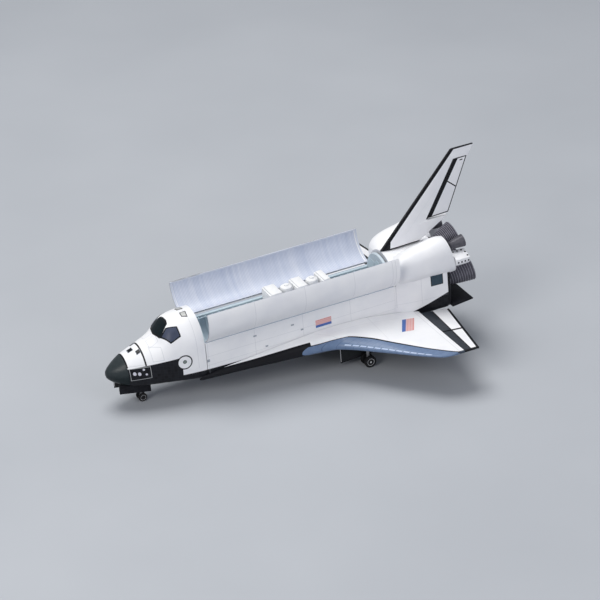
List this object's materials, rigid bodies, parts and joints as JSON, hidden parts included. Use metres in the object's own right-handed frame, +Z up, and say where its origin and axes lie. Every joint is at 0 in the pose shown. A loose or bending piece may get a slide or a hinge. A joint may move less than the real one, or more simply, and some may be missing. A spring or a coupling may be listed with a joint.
{
  "type": "space shuttle scale model",
  "caption": "Display model of a winged space shuttle orbiter on its landing gear, with hinged payload bay doors and turning wheels.",
  "frame": {"origin": "on the ground under the middle of the bounding box, where the wheels stand", "axes": "+X forward towards the nose, +Y to port, +Z up; the body hangs 3.9 degrees nose down on its gear"},
  "size_m": [0.1814, 0.1184, 0.09],
  "materials": {
    "white": "satin white paint",
    "black": "matt black paint",
    "carbon": "dark grey paint",
    "edge_grey": "blue grey paint",
    "bay_grey": "grey green paint",
    "window": "gloss dark grey paint",
    "bell": "dark metallic paint",
    "silver": "silver paint",
    "tyre": "matt black paint"
  },
  "bodies": {
    "airframe": {"nose_cap": "carbon", "forward_fuselage": "white", "thruster_module": "white", "windshield": "window", "mid_fuselage": "white", "bay_liner": "bay_grey", "aft_bulkhead": "bay_grey", "aft_fuselage": "white", "base_heat_shield": "black", "body_flap": "black", "fin": "white", "rudder": "white", "payload_cradle": "white", "forward_satellite": "white", "aft_satellite": "white", "upper_engine": "bell", "nose_gear_leg": "silver", "port_wing": "white", "port_leading_edge": "edge_grey", "port_inboard_elevon": "white", "port_outboard_elevon": "white", "port_pod": "white", "port_thruster_housing": "white", "port_nozzle": "bell", "port_engine": "bell", "port_nose_gear_door": "black", "port_main_gear_door": "black", "port_main_gear_leg": "silver", "starboard_wing": "white", "starboard_leading_edge": "edge_grey", "starboard_inboard_elevon": "white", "starboard_outboard_elevon": "white", "starboard_pod": "white", "starboard_thruster_housing": "white", "starboard_nozzle": "bell", "starboard_engine": "bell", "starboard_nose_gear_door": "black", "starboard_main_gear_door": "black", "starboard_main_gear_leg": "silver"},
    "port_door": {"port_bay_door": "white"},
    "starboard_door": {"starboard_bay_door": "white"},
    "nose_wheel_pair": {"nose_wheels": "tyre"},
    "port_wheel_pair": {"port_main_wheels": "tyre"},
    "starboard_wheel_pair": {"starboard_main_wheels": "tyre"}
  },
  "joints": [
    {"name": "port_door_hinge", "type": "hinge", "parent": "airframe", "child": "port_door", "pos_m": [0.04819, 0.01314, 0.0282], "axis": [-0.9977, 0, 0.0674], "range_deg": [-68, 107]},
    {"name": "starboard_door_hinge", "type": "hinge", "parent": "airframe", "child": "starboard_door", "pos_m": [0.04819, -0.01314, 0.0282], "axis": [0.9977, 0, -0.0674], "range_deg": [-91, 84]},
    {"name": "nose_wheels_spin", "type": "hinge", "parent": "airframe", "child": "nose_wheel_pair", "pos_m": [0.07418, 0, 0.00203], "axis": [0, 1, 0], "continuous": true},
    {"name": "port_wheels_spin", "type": "hinge", "parent": "airframe", "child": "port_wheel_pair", "pos_m": [-0.029, 0.01727, 0.00283], "axis": [0, 1, 0], "continuous": true},
    {"name": "starboard_wheels_spin", "type": "hinge", "parent": "airframe", "child": "starboard_wheel_pair", "pos_m": [-0.029, -0.01727, 0.00283], "axis": [0, 1, 0], "continuous": true}
  ]
}
